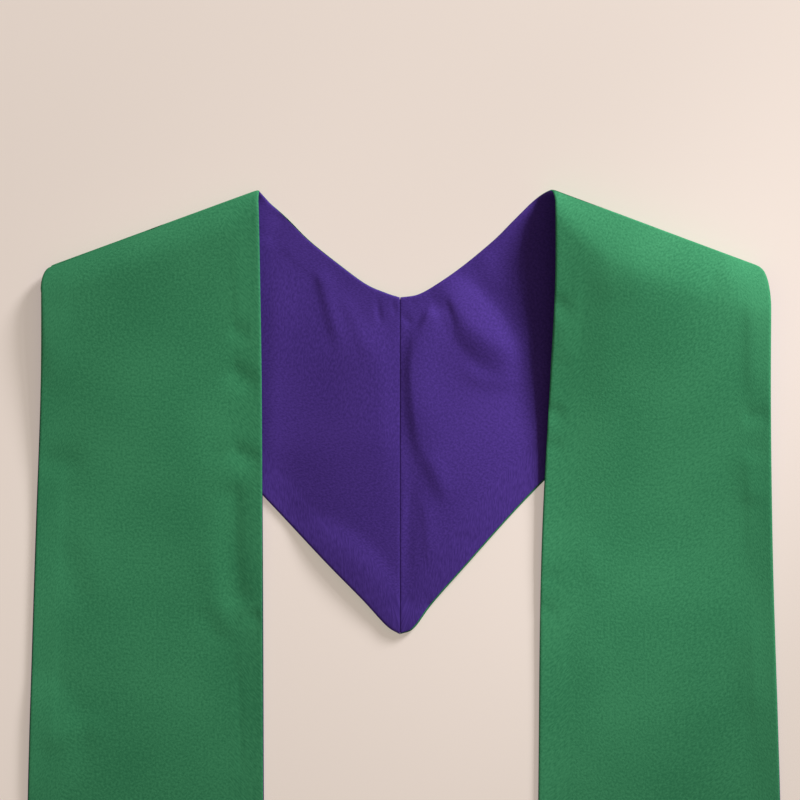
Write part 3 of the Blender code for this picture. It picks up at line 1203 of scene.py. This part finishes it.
@dataclass(frozen=True)
class Studio:
    """The pale floor, the soft light from the upper right and the camera straight above."""

    middle_x: float = -SEAM_SHIFT
    middle_y: float = 0.5006
    frame_width: float = 0.512
    camera_height: float = 2.6
    sensor_width: float = 36.0
    camera_range: float = 50.0

    floor_reach: float = 6.0
    floor_drop: float = 0.05 * MM
    floor_colour: str = "#C6BBB4"
    floor_roughness: float = 0.9
    floor_specular: float = 0.2
    # The floor's own even glow is painted light: it lifts the floor's shadows as no lamp there does
    glow_colour: str = "#EBDDD0"
    floor_glow: float = 0.43

    light_azimuth: float = 50.0
    light_colour: str = "#FCFCFF"
    key_elevation: float = 21.0
    key_distance: float = 2.6
    key_size: float = 0.70
    key_power: float = 83.0
    pool_elevation: float = 32.0
    pool_distance: float = 2.0
    pool_radius: float = 0.17
    pool_softness: float = 0.09
    pools: tuple[Pool, ...] = (Pool(-0.140, 0.465, 40.0), Pool(0.165, 0.480, 85.0))

    room_colour: str = "#FFF0E0"
    horizon_strength: float = 0.10
    horizon_height: float = 0.2
    zenith_strength: float = 0.35

    def build(self) -> None:
        """Makes the floor, the lights, the pale room and the camera."""
        self.floor()
        self.lights()
        self.room()
        self.camera()

    def floor(self) -> None:
        """Lays the plain pale floor that the stole rests on."""
        reach = self.floor_reach
        mesh = bpy.data.meshes.new("floor")
        corners = [(-reach, -reach, 0), (reach, -reach, 0), (reach, reach, 0), (-reach, reach, 0)]
        mesh.from_pydata(corners, [], [(0, 1, 2, 3)])
        # Painted board, matt: the eye sees an even pale tone without a reflection. It also glows evenly, a
        # painted light that keeps its shadows as pale as in a bright studio
        material = bpy.data.materials.new("Matt pale board")
        material.use_nodes = True
        shader = material.node_tree.nodes["Principled BSDF"]
        shader.inputs["Base Color"].default_value = linear(self.floor_colour)
        shader.inputs["Roughness"].default_value = self.floor_roughness
        shader.inputs["Specular IOR Level"].default_value = self.floor_specular
        shader.inputs["Emission Color"].default_value = linear(self.glow_colour)
        shader.inputs["Emission Strength"].default_value = self.floor_glow
        mesh.materials.append(material)
        floor = bpy.data.objects.new("floor", mesh)
        floor.location.z = -self.floor_drop
        bpy.context.scene.collection.objects.link(floor)

    def hang(self, light: bpy.types.Light, x: float, y: float, elevation: float, distance: float) -> None:
        """Hangs a light at a distance from a place on the floor, turned towards it.

        Args:
            light: the light.
            x: the place across the floor.
            y: the place along the floor.
            elevation: the light's height above the floor, in degrees.
            distance: how far it is from the place.
        """
        azimuth, elevation = math.radians(self.light_azimuth), math.radians(elevation)
        level = math.cos(elevation)
        toward = Vector((level * math.cos(azimuth), level * math.sin(azimuth), math.sin(elevation)))
        light.color = linear(self.light_colour)[:3]
        lamp = bpy.data.objects.new(light.name, light)
        lamp.location = Vector((x, y, 0)) + toward * distance
        lamp.rotation_euler = toward.to_track_quat("Z", "Y").to_euler()
        bpy.context.scene.collection.objects.link(lamp)

    def lights(self) -> None:
        """Hangs the soft key light, and a lamp for each pool of light on a shoulder."""
        key = bpy.data.lights.new("key light", "AREA")
        key.shape = "DISK"
        key.size = self.key_size
        key.energy = self.key_power
        self.hang(key, self.middle_x, self.middle_y, self.key_elevation, self.key_distance)
        for pool in self.pools:
            spot = bpy.data.lights.new("soft pool", "SPOT")
            spot.spot_size = 2 * math.atan(self.pool_radius / self.pool_distance)
            spot.spot_blend = 1.0
            spot.shadow_soft_size = self.pool_softness
            spot.energy = pool.power
            self.hang(spot, pool.x, pool.y, self.pool_elevation, self.pool_distance)

    def room(self) -> None:
        """Lets a pale room fill the shadows, mostly from above."""
        world = bpy.data.worlds.new("pale room")
        world.use_nodes = True
        tree = world.node_tree
        background = tree.nodes["Background"]
        background.inputs["Color"].default_value = linear(self.room_colour)
        directions = add_node(tree, "ShaderNodeTexCoord").outputs["Generated"]
        height = add_node(tree, "ShaderNodeSeparateXYZ", {"Vector": directions}).outputs["Z"]
        spread = {
            "Value": height,
            "From Min": self.horizon_height,
            "From Max": 1.0,
            "To Min": self.horizon_strength,
            "To Max": self.zenith_strength,
        }
        strength = add_node(tree, "ShaderNodeMapRange", spread).outputs["Result"]
        tree.links.new(strength, background.inputs["Strength"])
        bpy.context.scene.world = world
        bpy.context.scene.view_settings.view_transform = "Standard"

    def camera(self) -> None:
        """Sets the camera straight above, on the photograph's frame."""
        data = bpy.data.cameras.new("camera")
        data.sensor_width = self.sensor_width
        data.lens = data.sensor_width * self.camera_height / self.frame_width
        data.clip_end = self.camera_range
        camera = bpy.data.objects.new("camera", data)
        camera.location = (self.middle_x, self.middle_y, self.camera_height)
        bpy.context.scene.collection.objects.link(camera)
        bpy.context.scene.camera = camera


def main() -> None:
    """Builds the stole and its studio."""
    logging.basicConfig(level=logging.INFO, format="%(message)s")
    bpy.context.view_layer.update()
    Studio().build()
    Stole().build()


if __name__ == "__main__":
    main()
